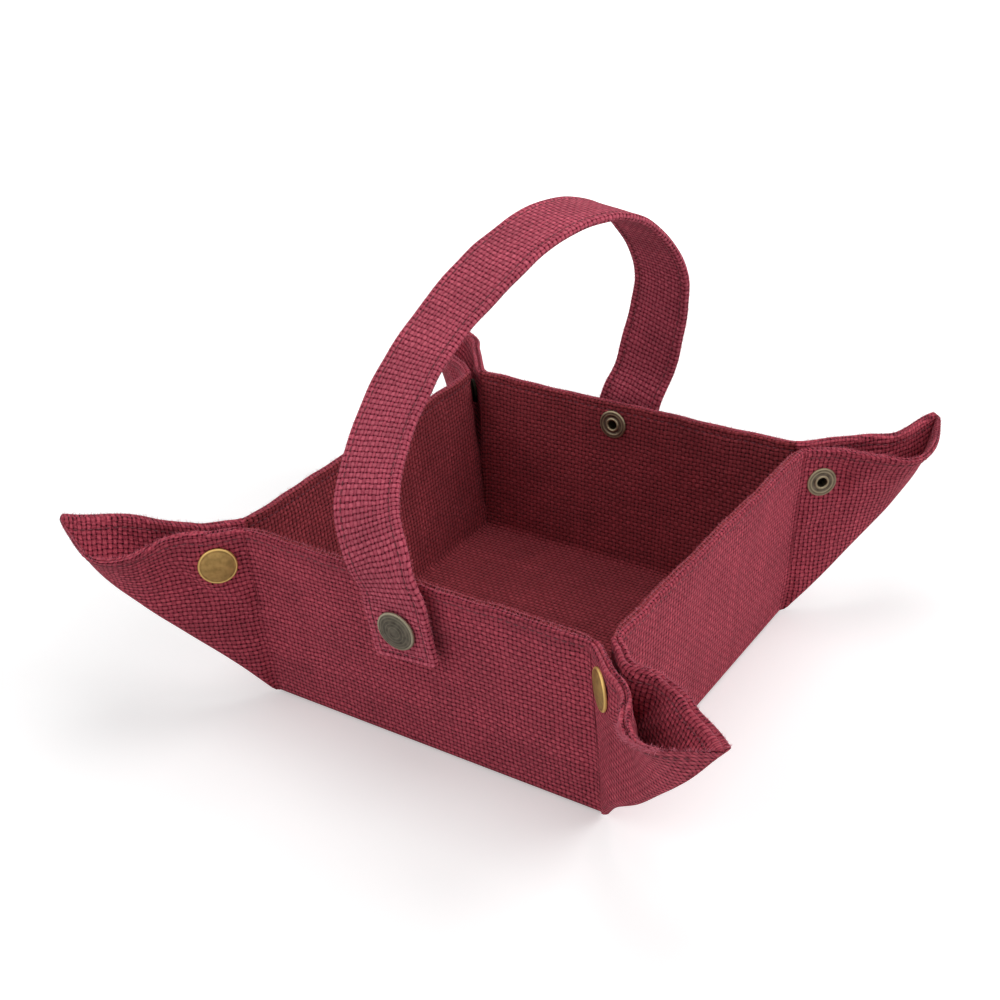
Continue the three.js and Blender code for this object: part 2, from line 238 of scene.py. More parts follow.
# A smooth line through values at even steps, at a share of the way along them
def eased(values, share):
    ends = np.array([2 * values[0] - values[1], *values, 2 * values[-1] - values[-2]], float)
    place = np.clip(share, 0.0, 1.0) * (len(values) - 1)
    i = np.minimum(place.astype(int), len(values) - 2)
    t = place - i
    a, b, c, d = ends[i], ends[i + 1], ends[i + 2], ends[i + 3]
    return 0.5 * (2 * b + (c - a) * t + (2 * a - 5 * b + 4 * c - d) * t**2 + (3 * b - a - 3 * c + d) * t**3)


# A slow unevenness of the cloth, in millimetres, by its place in the flat sheet
def uneven(u, v):
    return (
        0.16 * np.sin(u / 9.1 + 1.9 * np.sin(v / 15.7))
        + 0.13 * np.sin(v / 7.3 - 1.3 * np.sin(u / 12.9) + 1.1)
        + 0.07 * np.sin((u + v) / 3.9 + 2.3)
        + 0.06 * np.sin((u - 1.3 * v) / 3.1)
    )


# How far the rim rises or dips along its length
def rim_wander(along):
    return 0.20 * np.sin(along / 13.7 + 0.8) + 0.13 * np.sin(along / 6.1 + 2.0) + 0.08 * np.sin(along / 2.7)


# A point of a wall, by its place along it, up its slope and in from its outer face
def wall_point(turn, along, up, depth):
    y = -half_base + depth * math.cos(lean) - up * math.sin(lean)
    z = depth * math.sin(lean) + up * math.cos(lean)
    c, s = math.cos(math.radians(turn)), math.sin(math.radians(turn))
    return np.stack([along * c - y * s, along * s + y * c, z], axis=-1)


def column(value):
    return np.asarray(value)[..., None]


# A corner's foot, and the directions outwards from the tray and across the ear there
def corner_ways(corner):
    half = math.sqrt(0.5)
    ways = (half_base, -half_base, 0.0), (half, -half, 0.0), (half, half, 0.0)
    return [spun(way, corner["turn"]) for way in ways]


# How far the cloth's face has risen at a distance in from an edge of this radius, 1 on the flat
def rounding(distance, radius):
    return np.sqrt(np.clip(1 - (1 - np.minimum(distance / radius, 1.0)) ** 2, 0.0, 1.0))


# The sheet at one corner, on one side of it. up is the height up the crease, out the distance past the
# crease (below zero on the wall), depth the distance in from the outer face.
def folded_sheet(corner, side, up, out, depth):
    up, out, depth = np.broadcast_arrays(*(np.asarray(v, float) for v in (up, out, depth)))
    at, outwards, across = corner_ways(corner)
    wall_turn = corner["turn"] + (0 if side < 0 else 90)
    inwards = spun((0.0, 1.0, 0.0), wall_turn)
    snap_up = wall_height - corner["snap_down"]
    wandered = up + smooth(45.0, wall_height, up) * rim_wander(side * out + corner["turn"])
    ripple = uneven(out - side * 31.0 + corner["turn"], up + side * 17.0)
    fabric_depth = depth - ripple * smooth(0.0, 12.0, up)

    def from_snap(past):
        return np.hypot(up - snap_up, past - corner["snap_out"])

    # The snap holds the cloth under its cap still, and past that it moves freely
    def moved(values, past):
        return eased(values, past / wall_height) * smooth(ear_cap_radius, 16.0, from_snap(past))

    def on_wall(past):
        risen = wandered + fold_slope * fabric_depth * (1 - up / wall_height)
        return wall_point(wall_turn, -side * (half_base + past), risen, fabric_depth)

    def on_ear(past):
        past = np.minimum(past, up)
        x = past / wall_height
        to_rim = np.clip((up - past) / np.maximum(wall_height - past, 1e-6), 0.0, 1.0)
        grip = (ear_cap_radius, 12.5) if side == corner["cap"] else (ring_grip, 15.0)
        opening = np.maximum(eased(corner["open"][0 if side < 0 else 1], x), 0.0)
        mouth = opening * to_rim ** corner["taper"] * smooth(*grip, from_snap(past))
        held = (snap_up - corner["snap_out"] - ear_cap_radius * math.sqrt(2) - 1) / wall_height
        parting = smooth(held * 0.7, held, (up - past) / wall_height)
        rounded = rounding((up - past) * math.sqrt(0.5), fold_radius)
        off = -pressed_in + (midway + pressed_in) * parting + mouth + ear_cloth / 2 * rounded
        off = np.maximum(off + (ear_depth / 2 - fabric_depth) * rounded, -pressed_in)
        aside = moved(corner["sway"], past) + side * off
        lifted = moved(corner["lift"], past)
        drawn = corner["draw"] * x**2
        r = crease_out * wandered + ear_out * past - drawn * tip_out - lifted * tip_up
        z = crease_up * wandered + ear_up * past - drawn * tip_up + lifted * tip_out
        return at + column(r) * outwards + column(z) * upwards + column(aside) * across

    soft = np.minimum(crease_softness, 0.3 + 0.5 * up)
    bend = unit(inwards - side * across) / math.cos(math.radians(22.5))
    crease = wall_point(wall_turn, np.full_like(up, -side * half_base), wandered, np.zeros_like(up))
    crease = crease + column(fabric_depth) * bend
    t = column(np.clip((out + soft) / (2 * soft), 0.0, 1.0))
    curve = (1 - t) ** 2 * on_wall(-soft) + 2 * t * (1 - t) * crease + t**2 * on_ear(soft)
    flat_part = np.where(column(out <= -soft), on_wall(np.minimum(out, -soft)), on_ear(np.maximum(out, soft)))
    points = np.where(column(np.abs(out) < soft), curve, flat_part)

    # Round the fold along the base
    t = 0.5 + 0.5 * np.clip(up / fold_radius, 0.0, 1.0)
    slope = np.clip(out / np.maximum(up, 1e-6), 0.0, 1.0)
    on_ear_in = -math.sqrt(0.5) * outwards - side * math.sqrt(0.5) * column(1 - slope) * across
    inward_now = np.where(column(out) > 0, on_ear_in, inwards)
    points = points + column(np.where(up < fold_radius, (1 - t) ** 2 * fold_radius, 0.0)) * inward_now
    points[..., 2] += np.where(up < fold_radius, t**2 * fold_radius - up, 0.0)

    # The two halves of a corner meet in its upright diagonal plane, pressed a hair into each other
    off = side * ((points - at) @ across - moved(corner["sway"], out))
    short = np.clip(-pressed_in - off, 0.0, None)
    return points + column(side * short) * across


def vertex_places(mesh):
    places = np.empty(len(mesh.vertices) * 3)
    mesh.vertices.foreach_get("co", places)
    return places.reshape(-1, 3)


def edit_all():
    bpy.ops.object.mode_set(mode="EDIT")
    bpy.ops.mesh.select_all(action="SELECT")


# Weld a new form where it touches itself, face it outwards and shade its curves smooth
def weld(threshold, angle):
    edit_all()
    bpy.ops.mesh.remove_doubles(threshold=threshold)
    bpy.ops.mesh.normals_make_consistent(inside=False)
    bpy.ops.object.mode_set(mode="OBJECT")
    bpy.ops.object.shade_smooth_by_angle(angle=math.radians(angle))


# A closed piece of cloth from a grid of points that runs up one face, over the edge and down the other
def cloth_piece(name, points, flat, material):
    rows, columns = points.shape[:2]
    between = 0.5 * (points + points[::-1])
    padded = np.concatenate([between[:, :1], points, between[:, -1:]], axis=1)
    foot = 0.5 * (padded[:1] + padded[-1:])
    padded = np.concatenate([foot, padded, foot])
    spread = np.pad(flat, ((1, 1), (1, 1), (0, 0)), mode="edge")
    bpy.ops.mesh.primitive_grid_add(x_subdivisions=columns + 1, y_subdivisions=rows + 1, size=2.0)
    piece = bpy.context.object
    mesh = piece.data
    piece.name = mesh.name = name
    start = vertex_places(mesh)
    row = np.rint((start[:, 1] + 1) / 2 * (rows + 1)).astype(int)
    col = np.rint((start[:, 0] + 1) / 2 * (columns + 1)).astype(int)
    mesh.vertices.foreach_set("co", (padded[row, col] / 1000).ravel())
    corner_vertex = np.empty(len(mesh.loops), int)
    mesh.loops.foreach_get("vertex_index", corner_vertex)
    mesh.uv_layers[0].name = "flat_cloth_mm"
    mesh.uv_layers[0].data.foreach_set("uv", spread[row, col][corner_vertex].ravel())
    weld(1e-6, 55)
    mesh.materials.append(material)
    return piece


# The flat cloth's own millimetres on a grid, turned with its wall or corner
def flat_cloth(x, y, degrees):
    c, s = math.cos(math.radians(degrees)), math.sin(math.radians(degrees))
    return np.stack([x, y], axis=-1) @ np.array([[c, s], [-s, c]])


# Plain woven hessian of dyed jute, 1.78 mm between its threads one way and 1.93 mm the other. Each thread
# waves over one and under the next, is round and fibrous, and swells and thins along its length, so small
# holes are left at the corners. Its colour is painted by height: painted shade in the holes and low places,
# and a painted highlight on the threads' tops. The pattern reads the flat cloth's own millimetres.
def hessian(name, thread, painted_highlight_on_tops, painted_shade_in_hollows, spacing=(1.78, 1.93)):
    material, tree = new_material(name)
    cloth = add_node(tree, "UVMap", uv_map="flat_cloth_mm")
    moved = cloth
    for scale, detail, reach in ((0.06, 2.0, 1.7), (0.36, 1.0, 0.70)):
        drift = add_node(tree, "TexNoise", {"Vector": cloth, "Scale": scale, "Detail": detail})
        inputs = {0: drift.outputs["Color"], 1: (reach, reach, 0.0), 2: moved}
        moved = add_node(tree, "VectorMath", inputs, operation="MULTIPLY_ADD")
    inputs = {0: moved, 1: (1 / spacing[0], 1 / spacing[1], 0.0), 2: (2000.0, 2000.0, 0.0)}
    counted = add_node(tree, "VectorMath", inputs, operation="MULTIPLY_ADD")
    places = add_node(tree, "SeparateXYZ", {0: counted}).outputs
    tops, fibres, tones = [], [], []
    for axis in (0, 1):
        this, other = places[axis], places[1 - axis]
        number = add_node(tree, "Math", {0: this}, operation="FLOOR")
        fraction = add_node(tree, "Math", {0: this}, operation="FRACT")
        centred = add_node(tree, "Math", {0: fraction, 1: 0.5}, operation="SUBTRACT")

        # Each thread swells and thins along its course, and its top is round
        thread_at = add_node(tree, "CombineXYZ", {0: number, 1: other})
        course = add_node(tree, "VectorMath", {0: thread_at, 1: (5.13, 0.31, 0.0)}, operation="MULTIPLY")
        swell = add_node(tree, "TexNoise", {"Vector": course, "Scale": 1.0, "Detail": 2.0})
        inputs = {"Value": swell, "From Min": 0.25, "From Max": 0.75, "To Min": 3.3, "To Max": 2.2}
        narrow = add_node(tree, "MapRange", inputs)
        edge = add_node(tree, "Math", {0: centred, 1: narrow}, operation="MULTIPLY")
        squared = add_node(tree, "Math", {0: edge, 1: edge}, operation="MULTIPLY")
        left = add_node(tree, "Math", {0: 1.0, 1: squared}, operation="SUBTRACT", use_clamp=True)
        round_top = add_node(tree, "Math", {0: left, 1: 0.5}, operation="POWER")
        there = add_node(tree, "Math", {0: round_top, 1: 0.02}, operation="GREATER_THAN")

        # It rises over one crossing thread and dips under the next
        half_turns = add_node(tree, "Math", {0: other, 1: math.pi}, operation="MULTIPLY")
        swing = add_node(tree, "Math", {0: half_turns}, operation="SINE")
        thread_turns = add_node(tree, "Math", {0: number, 1: math.pi}, operation="MULTIPLY")
        sign = add_node(tree, "Math", {0: thread_turns}, operation="COSINE")
        wave = add_node(tree, "Math", {0: swing, 1: sign}, operation="MULTIPLY")
        over, rest_at = (0.26, 0.33) if axis == 0 else (-0.26, 0.50)
        inputs = {"From Min": -0.75, "From Max": 0.75, "To Min": rest_at - over, "To Max": rest_at + over}
        level = add_node(tree, "MapRange", {"Value": wave, **inputs})
        raised_by = add_node(tree, "Math", {0: level, 1: there}, operation="MULTIPLY")
        inputs = {0: round_top, 1: 0.24, 2: raised_by}
        tops.append(add_node(tree, "Math", inputs, operation="MULTIPLY_ADD"))

        # Its own fibres run lengthwise, and each thread has its own tone
        fine = (3.0, 0.6, 1.0) if axis == 0 else (0.6, 3.0, 1.0)
        combed = add_node(tree, "VectorMath", {0: cloth, 1: fine}, operation="MULTIPLY")
        fibres.append(add_node(tree, "TexNoise", {"Vector": combed, "Scale": 1.0, "Detail": 3.0}))
        seed = add_node(tree, "Math", {0: number, 1: 0.37 + axis * 0.5}, operation="ADD")
        tones.append(add_node(tree, "TexWhiteNoise", {"W": seed}, noise_dimensions="1D"))

    uppermost = add_node(tree, "Math", {0: tops[0], 1: tops[1]}, operation="GREATER_THAN")
    relief = add_node(tree, "Math", {0: tops[0], 1: tops[1]}, operation="MAXIMUM")
    fibre = add_node(tree, "Mix", {0: uppermost, 2: fibres[1], 3: fibres[0]}, data_type="FLOAT")
    tone = add_node(tree, "Mix", {0: uppermost, 2: tones[1], 3: tones[0]}, data_type="FLOAT")
    speckle = add_node(tree, "TexNoise", {"Vector": cloth, "Scale": 1.15, "Detail": 3.0})
    fibre_rise = add_node(tree, "MapRange", {"Value": fibre, "To Min": -0.32, "To Max": 0.32})
    speckle_rise = add_node(tree, "MapRange", {"Value": speckle, "To Min": -0.24, "To Max": 0.24})
    fibred = add_node(tree, "Math", {0: relief, 1: fibre_rise}, operation="ADD")
    height = add_node(tree, "Math", {0: fibred, 1: speckle_rise}, operation="ADD")
    # Colour by height: painted shade, nearly black, in the holes, the thread's own colour midway, and a
    # painted highlight on the tops
    colour_with_painted_light = add_node(tree, "ValToRGB", {"Fac": height})
    ramp = colour_with_painted_light.color_ramp.elements
    ramp[0].position, ramp[0].color = 0.14, linear(painted_shade_in_hollows)
    ramp[1].position, ramp[1].color = 1.0, linear(painted_highlight_on_tops)
    ramp.new(0.56).color = linear(thread)
    toned = add_node(tree, "MapRange", {"Value": tone, "To Min": 0.88, "To Max": 1.12})
    worn = add_node(tree, "TexNoise", {"Vector": cloth, "Scale": 0.05, "Detail": 3.0})
    inputs = {"Value": worn, "From Min": 0.3, "From Max": 0.7, "To Min": 0.90, "To Max": 1.10}
    faded = add_node(tree, "MapRange", inputs)
    shade = add_node(tree, "Math", {0: toned, 1: faded}, operation="MULTIPLY")
    coloured = add_node(tree, "VectorMath", {0: colour_with_painted_light, "Scale": shade}, operation="SCALE")
    bump = add_node(tree, "Bump", {"Strength": 1.0, "Distance": 0.00085, "Height": height})
    sheen = {"Sheen Weight": 0.12, "Sheen Roughness": 0.5, "Sheen Tint": linear("#D98A96")}
    inputs = {"Base Color": coloured, "Roughness": 0.93, "Specular IOR Level": 0.18, "Normal": bump, **sheen}
    surface = add_node(tree, "BsdfPrincipled", inputs)
    add_node(tree, "OutputMaterial", {"Surface": surface})
    return material


outer_hessian = hessian("wine_jute_hessian", "#932F43", "#CC5867", "#2A030C")
# The lining is the same hessian painted darker: a painted shade for the inside of the tray
lining_hessian_painted_darker = hessian("wine_jute_lining_painted_darker", "#842C35", "#B64C55", "#240309")


# A hole through one cloth for a snap's post or ring, drilled along the snap's axis
def pierce(piece, place, axis, radius):
    bpy.ops.mesh.primitive_cylinder_add(vertices=32, radius=radius / 1000, depth=0.014)
    drill = bpy.context.object
    turned = Vector(axis).to_track_quat("Z", "Y").to_matrix().to_4x4()
    drill.matrix_world = Matrix.Translation(Vector(place) / 1000) @ turned
    cut = piece.modifiers.new("post_hole", "BOOLEAN")
    cut.operation = "DIFFERENCE"
    cut.solver = "MANIFOLD"
    cut.object = drill
    bpy.context.view_layer.objects.active = piece
    bpy.ops.object.modifier_apply(modifier=cut.name)
    bpy.data.objects.remove(drill)
    piece.select_set(True)
    bpy.ops.object.shade_smooth_by_angle(angle=math.radians(55))


# Sewing thread of the same red, waxed and twisted, a little smoother than the cloth
sewing_thread, tree = new_material("waxed_red_sewing_thread")
spot = add_node(tree, "TexCoord").outputs["Object"]
twist = add_node(tree, "TexNoise", {"Vector": spot, "Scale": 1500.0, "Detail": 2.0})
thread_tones = add_node(tree, "ValToRGB", {"Fac": twist})
ramp = thread_tones.color_ramp.elements
ramp[0].position, ramp[0].color = 0.3, linear("#561A26")
ramp[1].position, ramp[1].color = 0.7, linear("#954553")
surface = add_node(tree, "BsdfPrincipled", {"Base Color": thread_tones, "Roughness": 0.7})
add_node(tree, "OutputMaterial", {"Surface": surface})

# One stitch of the topstitching, a short rounded length of thread; every other is a copy of it
stitch_pitch = 3.2
stitch_length = 2.3
stitch_radius = 0.30
bpy.ops.mesh.primitive_uv_sphere_add(segments=8, ring_count=6, radius=1.0)
stitch = bpy.context.object
edit_all()
bpy.ops.transform.resize(value=(stitch_radius / 1000, stitch_radius / 1000, stitch_length / 2000))
bpy.ops.object.mode_set(mode="OBJECT")
bpy.ops.object.shade_smooth()
one_stitch = stitch.data
one_stitch.name = "one_stitch"
one_stitch.materials.append(sewing_thread)
bpy.data.objects.remove(stitch)


# Copies of one small model, each set at a place with its own three directions, joined to the cloth
def join_copies(piece, model, settings):
    bpy.ops.object.select_all(action="DESELECT")
    for *ways, at in settings:
        copy = bpy.data.objects.new(model.name, model)
        bpy.context.collection.objects.link(copy)
        stand(copy, *ways, at / 1000)
        copy.select_set(True)
    piece.select_set(True)
    bpy.context.view_layer.objects.active = piece
    bpy.ops.object.join()


# The length run at each point of a line, or of a grid along one of its axes
def travelled(points, axis=0):
    steps = np.linalg.norm(np.diff(points, axis=axis), axis=-1)
    return np.concatenate([np.zeros_like(steps.take([0], axis)), np.cumsum(steps, axis=axis)], axis=axis)


def read_at(values, run, place):
    return np.array([np.interp(place, run, values[:, k]) for k in range(3)])


# A row of stitches along a line of points on the cloth, lifted so that half of each thread shows
def topstitch(piece, line, outward):
    line = line + stitch_lift * outward
    run = travelled(line)
    settings = []
    for middle in np.arange(stitch_pitch / 2, run[-1] - stitch_pitch / 2, stitch_pitch):
        start, end = read_at(line, run, middle - 1), read_at(line, run, middle + 1)
        lengthwise = unit(end - start)
        side = unit(np.cross(read_at(outward, run, middle), lengthwise))
        settings.append((side, np.cross(lengthwise, side), lengthwise, (start + end) / 2))
    join_copies(piece, one_stitch, settings)


# One loose fibre of jute, a millimetre long, thin and bent, standing off the turned edges. Its pale colour
# is a painted highlight for the light that fine fibres catch.
loose_fibre_painted_highlight, tree = new_material("loose_jute_fibre_painted_highlight")
surface = add_node(tree, "BsdfPrincipled", {"Base Color": linear("#CC6E80"), "Roughness": 0.9})
add_node(tree, "OutputMaterial", {"Surface": surface})
bpy.ops.mesh.primitive_circle_add(vertices=3, radius=0.00007, fill_type="NGON")
fibre = bpy.context.object
edit_all()
for bent_by in (0.00004, 0.00012, 0.00022):
    bpy.ops.mesh.extrude_region_move(TRANSFORM_OT_translate={"value": (bent_by, 0.0, 0.00033)})
    bpy.ops.transform.resize(value=(0.8, 0.8, 1.0))
bpy.ops.mesh.select_all(action="SELECT")
bpy.ops.mesh.normals_make_consistent(inside=False)
bpy.ops.object.mode_set(mode="OBJECT")
one_fibre = fibre.data
one_fibre.name = "one_fibre"
one_fibre.materials.append(loose_fibre_painted_highlight)
bpy.data.objects.remove(fibre)
scatter = np.random.default_rng(11)


# Loose fibres along a line of points, leaning every way about the outward direction
def fuzz(piece, line, outward, spacing, longest=1.5):
    run = travelled(line)
    settings = []
    for place in np.arange(spacing, run[-1], spacing) + scatter.uniform(-0.4, 0.4) * spacing:
        up = unit(read_at(outward, run, place) + scatter.normal(0.0, 0.75, 3))
        side = unit(np.cross(up, scatter.normal(0.0, 1.0, 3)))
        reach = scatter.uniform(0.5, longest)
        settings.append((side * reach, np.cross(up, side), up * reach, read_at(line, run, place) - 0.1 * up))
    join_copies(piece, one_fibre, settings)


# The cloth's own upright directions along one row of a grid of points, on the face that faces the given way
def row_normals(points, row, facing):
    found = unit(np.cross(np.gradient(points[row], axis=0), points[row + 1] - points[row - 1]))
    return -found if found[8] @ facing < 0 else found


# Rows of each cloth, as height up the wall and depth from its outer face, close together where it bends
climb = np.concatenate([
    [0.0, 0.4, 0.9, 1.5, 2.2, 3.0, 4.0, 5.2],
    np.linspace(6.6, 70.6, 44),
    wall_height - stitch_line + np.array([-1.9, -1.2, -0.7, -0.35, 0.0, 0.35, 0.7, 1.2, 1.9, 2.6]),
])


# How deep a row of stitches pulls the cloth in, at a distance in from the edge that it runs along
def groove(below, width=0.55):
    return 0.42 * np.exp(-((below - stitch_line) / width) ** 2)


hem_swell = 0.30
face_depths = groove(wall_height - climb) - hem_swell * smooth(5.4, 2.6, wall_height - climb)
edge_turn = np.radians(np.linspace(-90, 90, 9))
hem_round = hem_thickness / 2
rim_rows = wall_height - hem_round + hem_round * np.cos(edge_turn)
rim_depths = hem_round + hem_round * np.sin(edge_turn)
rim_swell = hem_swell * np.cos(edge_turn)
back_rows = np.array([73.0, 69.0, 60.0, 40.0, 20.0, 8.0, 3.0, 0.0])
back_depths = np.r_[1.6, [cloth_thickness] * 7]
outer_rows = np.r_[climb, rim_rows, back_rows]
outer_depths = np.r_[face_depths, rim_depths - rim_swell * (edge_turn < 0), back_depths]
lining_rows = outer_rows[::-1]
lining_rim = hem_thickness - rim_depths - rim_swell * (edge_turn > 0)
lining_depths = wall_thickness - np.r_[back_depths[::-1], lining_rim, face_depths[::-1]]
across_wall = np.r_[0.0, 0.5, 1.0, 1.6, 2.3, 3.1, 4.0, 5.2, 6.6, np.linspace(8.2, 75.0, 41)]

# Where the handle's snaps go through the walls: along each wall, down from its rim, and how the strap tilts
handle_snaps = {
    "front": dict(turn=0, side=-1.5, down=17.0, tilt=math.radians(-6)),
    "back": dict(turn=180, side=6.1, down=9.2, tilt=math.radians(-19)),
}
corner_at = {corner["turn"]: corner for corner in corners.values()}


def wall_axis(turn):
    return spun((0.0, -math.cos(lean), -math.sin(lean)), turn)


def snap_place(snap, depth):
    return wall_point(snap["turn"], snap["side"], wall_height - snap["down"], depth)


# One cloth of a wall: both halves are worked out from their own corner and meet at the wall's middle. The
# lining is drawn in at the wall's ends, where no card holds it out.
def wall_cloth(wall, label, rows, depths, material):
    turn = wall_turns[wall]
    inner = label == "lining"
    rows_grid, inset = np.meshgrid(rows, across_wall, indexing="ij")
    depth_grid = np.repeat(depths[:, None], len(across_wall), axis=1)
    if inner:
        thinner = 1.4 * smooth(8.0, 1.0, inset) * smooth(3.0, 15.0, rows_grid)
        thinner = thinner + 0.5 * smooth(71.0, 76.0, rows_grid) * (1 - smooth(8.0, 1.0, inset))
        depth_grid = depth_grid - thinner
    blend = smooth(half_base - 30, half_base, across_wall)[None, :, None] * 0.5
    halves = []
    for own_turn, other_turn, side in (((turn - 90) % 360, turn, 1), (turn, (turn - 90) % 360, -1)):
        own = folded_sheet(corner_at[own_turn], side, rows_grid, -inset, depth_grid)
        past_middle = folded_sheet(corner_at[other_turn], -side, rows_grid, inset - base_width, depth_grid)
        halves.append(own * (1 - blend) + past_middle * blend)
    points = np.concatenate([halves[0], halves[1][:, ::-1][:, 1:]], axis=1)
    along = np.r_[-half_base + across_wall, (half_base - across_wall)[::-1][1:]]
    run = travelled(np.stack([rows, depths], axis=-1))
    flat = flat_cloth(*np.meshgrid(along, -half_base - run), turn) + (other_weave if inner else 0.0)
    piece = cloth_piece(f"{wall}_wall_{label}_jute", points, flat, material)
    snap = handle_snaps.get(wall)
    if snap:
        pierce(piece, snap_place(snap, wall_thickness / 2), wall_axis(turn), ring_hole)
    off_face = np.abs(depths - (wall_thickness if inner else 0.0)) > 1.2
    sewn_row = int(np.argmin(np.abs(rows - (wall_height - stitch_line)) + 50.0 * off_face))
    outward = row_normals(points, sewn_row, spun((0.0, 1.0 if inner else -1.0, 0.0), turn))
    topstitch(piece, points[sewn_row], outward)
    rim = points[int(np.argmax(rows))]
    fuzz(piece, rim, np.tile(upwards, (len(rim), 1)), 0.4)
    return piece


for wall, turn in wall_turns.items():
    for label, solid, rows, depths, material in (
        ("outer", f"{wall}_wall_outer_cloth", outer_rows, outer_depths, outer_hessian),
        ("lining", f"{wall}_wall_lining", lining_rows, lining_depths, lining_hessian_painted_darker),
    ):
        piece = wall_cloth(wall, label, rows, depths, material)
        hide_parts(solid)
        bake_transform(piece)

# Base: the middle of the same two sheets, flat on both faces of the base card, its edge rounded into the
# folds of the walls.
base_steps = np.r_[0.0, 0.4, 0.9, 1.5, 2.2, 3.0, 4.2, 6.0, np.linspace(8.0, 75.0, 36)]
base_line = np.r_[-half_base + base_steps, (half_base - base_steps)[::-1][1:]]


def base_cloth(label, height, material, shift):
    x, y = np.meshgrid(base_line, base_line)
    scale = (half_base - fold_slope * height) / half_base

    def rounded(v):
        inside = half_base - np.abs(v)
        t = 0.5 - 0.5 * np.clip(inside / fold_radius, 0.0, 1.0)
        moved = np.where(inside < fold_radius, (1 - t) ** 2 * fold_radius, inside)
        lifted = np.where(inside < fold_radius, t**2 * fold_radius, 0.0)
        return np.sign(v) * (half_base - moved), lifted

    x_now, lift_x = rounded(x)
    y_now, lift_y = rounded(y)
    lift = np.maximum(lift_x, lift_y)
    wave = 0.35 * uneven(x * 0.7, y * 0.7) * smooth(2.0, 14.0, half_base - np.maximum(np.abs(x), np.abs(y)))
    top = np.stack([x_now * scale, y_now * scale, height + lift + wave * (height > 1)], axis=-1)
    thick = cloth_thickness * upwards
    lower, upper = (top - thick, top) if height > 1 else (top, top + thick)
    points = np.concatenate([lower, upper[::-1]])
    flat = np.stack([x, y], axis=-1) + shift
    flat = np.concatenate([flat, flat[::-1]])
    return cloth_piece(f"base_{label}_jute", points, flat, material)


for label, solid, height, material, shift in (
    ("outer", "base_outer_cloth", 0.0, outer_hessian, 0.0),
    ("lining", "base_lining", wall_thickness, lining_hessian_painted_darker, other_weave),
):
    piece = base_cloth(label, height, material, shift)
    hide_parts(solid)
    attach(piece, "base")

# Ears: at each corner the square of sheet between two walls is folded outwards on its diagonal. Its two
# halves lie face to face, held by a snap; past the snap the rim opens into a mouth and the tip curls. The
# points run along rays from the corner's foot, up the outer face, over the hems and down the inner face.


def rim_reach(slope):
    centre = wall_height - tip_radius
    a = 1 + slope**2
    b = -2 * centre * (1 + slope)
    c = 2 * centre**2 - tip_radius**2
    rounded = (-b + np.sqrt(np.maximum(b * b - 4 * a * c, 0.0))) / (2 * a)
    return np.where(slope * wall_height <= centre, wall_height, rounded)


slopes = np.r_[0.0, np.linspace(0.012, 0.90, 56), np.linspace(0.91, 1.0, 12)]
reach = rim_reach(slopes)
below_rim = np.concatenate([
    np.linspace(20.0, 7.0, 12)[:-1],
    stitch_line + np.array([2.4, 1.9, 1.4, 1.0, 0.65, 0.35, 0.0, -0.35, -0.65, -1.0, -1.5, -2.1, -2.7]),
    [1.2, 0.85],
])
rising = np.r_[0.0, 0.02, 0.05, 0.09, np.linspace(0.14, 0.97, 26)]
body_up = rising[:, None] * (reach - 20.0)
face_up = np.concatenate([body_up, reach - below_rim[:, None]])
face_below = np.r_[np.full(len(rising), 30.0), below_rim]
ear_hem = 0.65
face_out = groove(face_below) - ear_hem * smooth(6.0, 2.6, face_below)
ridge = np.radians([-60, -30, 0, 30, 60, 82])
ridge_round = 0.93
ridge_below = ridge_round - ridge_round * np.cos(ridge)
ridge_depth = -ear_hem + ridge_round + ridge_round * np.sin(ridge)
rim_below = np.r_[ridge_below, 2.3, ridge_below[::-1]]
rim_in = np.r_[ridge_depth, ear_depth / 2, (ear_depth - ridge_depth)[::-1]]
ear_rows = np.concatenate([face_up, reach - rim_below[:, None], face_up[::-1]])
ear_depths = np.r_[face_out, rim_in, (ear_depth - face_out)[::-1]]
faces = len(face_out)
sewn_row = len(rising) + int(np.argmin(np.abs(below_rim - stitch_line)))


# The middle of a corner's snap, in the upright plane that its two halves meet in
def corner_snap(corner):
    at, outwards, across = corner_ways(corner)
    snap_up = wall_height - corner["snap_down"]
    r = crease_out * snap_up + ear_out * corner["snap_out"]
    z = crease_up * snap_up + ear_up * corner["snap_out"]
    return at + r * outwards + z * upwards


